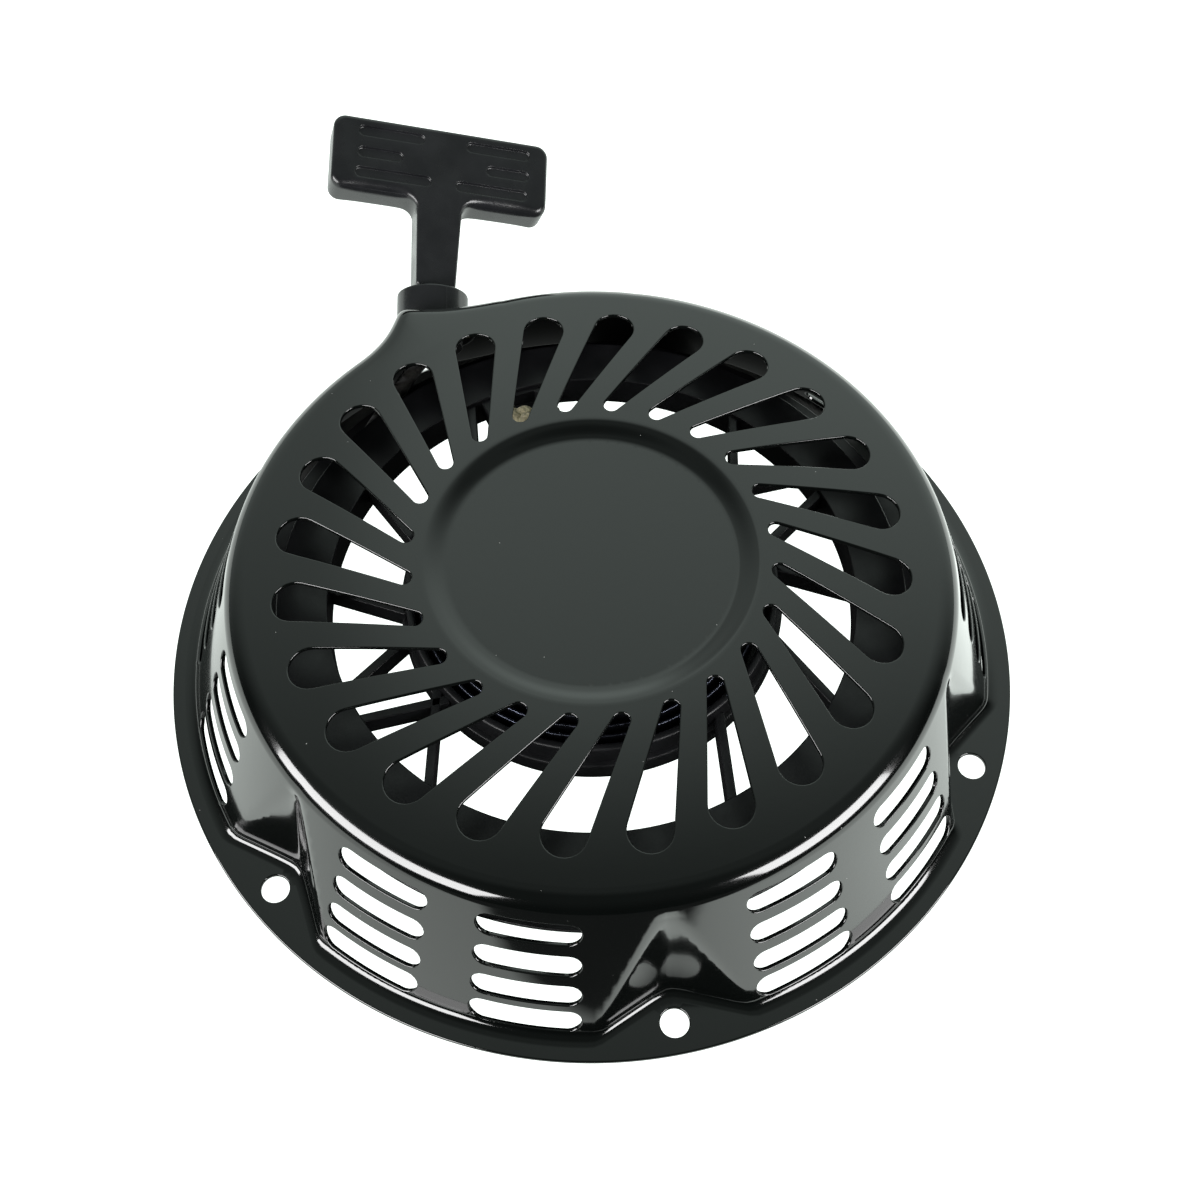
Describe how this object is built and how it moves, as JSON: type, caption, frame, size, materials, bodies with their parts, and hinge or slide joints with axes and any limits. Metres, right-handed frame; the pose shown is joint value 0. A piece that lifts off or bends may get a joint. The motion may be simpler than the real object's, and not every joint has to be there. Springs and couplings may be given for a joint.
{
  "type": "recoil starter",
  "caption": "Recoil starter for a small engine: louvred steel case, spoked rope reel with recoil spring and swinging ratchets, and a T-handle on a pull rope.",
  "frame": {"origin": "centre of the mounting flange, in the plane it is bolted to", "axes": "+Z along the reel's axis, out of the crown and away from the engine; +Y the way the handle is pulled, seen along the reel's axis"},
  "size_m": [0.225, 0.2604, 0.0588],
  "materials": {
    "case_paint": "black baked enamel, satin on the crown and glossy on the wall",
    "steel": "bright stamped steel",
    "spring_steel": "blued, lightly oiled spring steel",
    "zinc_steel": "yellow zinc plating",
    "reel_plastic": "black moulded nylon, semi-matt",
    "guide_plastic": "black moulded nylon, satin",
    "handle_plastic": "black moulded plastic, satin with polished edges",
    "rope": "braided nylon cord, natural"
  },
  "bodies": {
    "case": {"housing": "case_paint", "centre_post": "steel", "rope_guide": "guide_plastic", "centre_screw": "zinc_steel", "friction_plate": "steel", "rope_lead": "rope"},
    "reel": {"reel": "reel_plastic", "recoil_spring": "spring_steel", "wound_rope": "rope", "reel_rope_knot": "rope", "thrust_washer": "steel", "ratchet_spring_1": "spring_steel", "ratchet_spring_2": "spring_steel"},
    "guide": {"ratchet_guide": "zinc_steel", "friction_spring": "spring_steel"},
    "ratchet_1": {"ratchet_1": "steel", "ratchet_peg_1": "steel"},
    "ratchet_2": {"ratchet_2": "steel", "ratchet_peg_2": "steel"},
    "handle": {"handle_grip": "handle_plastic", "handle_washer": "steel", "handle_rope_knot": "rope"}
  },
  "joints": [
    {"name": "reel_turn", "type": "hinge", "parent": "case", "child": "reel", "pos_m": [0, 0, 0.02], "axis": [0, 0, 1], "range_deg": [-768, 0], "stiffness_Nm_per_rad": 0.02, "springref_deg": 572.96, "deforming": ["recoil_spring"]},
    {"name": "handle_pull", "type": "slide", "parent": "case", "child": "handle", "axis": [0, 0.9397, 0.342], "range_m": [0, 1], "deforming": ["rope_lead"]},
    {"name": "guide_turn", "type": "hinge", "parent": "reel", "child": "guide", "pos_m": [0, 0, 0.011], "axis": [0, 0, 1], "range_deg": [0, 25], "stiffness_Nm_per_rad": 0.01, "springref_deg": -17.19},
    {"name": "ratchet_1_swing", "type": "hinge", "parent": "reel", "child": "ratchet_1", "pos_m": [0.026, 0, 0.015], "axis": [0, 0, 1], "range_deg": [0, 30.1]},
    {"name": "ratchet_2_swing", "type": "hinge", "parent": "reel", "child": "ratchet_2", "pos_m": [-0.026, 0, 0.015], "axis": [0, 0, 1], "range_deg": [0, 30.1]}
  ],
  "couplings": [
    {"joint": "handle_pull", "follows": "reel_turn", "m_per_rad": -0.0745},
    {"joint": "ratchet_1_swing", "follows": "guide_turn", "ratio": 1.2},
    {"joint": "ratchet_2_swing", "follows": "guide_turn", "ratio": 1.2}
  ]
}
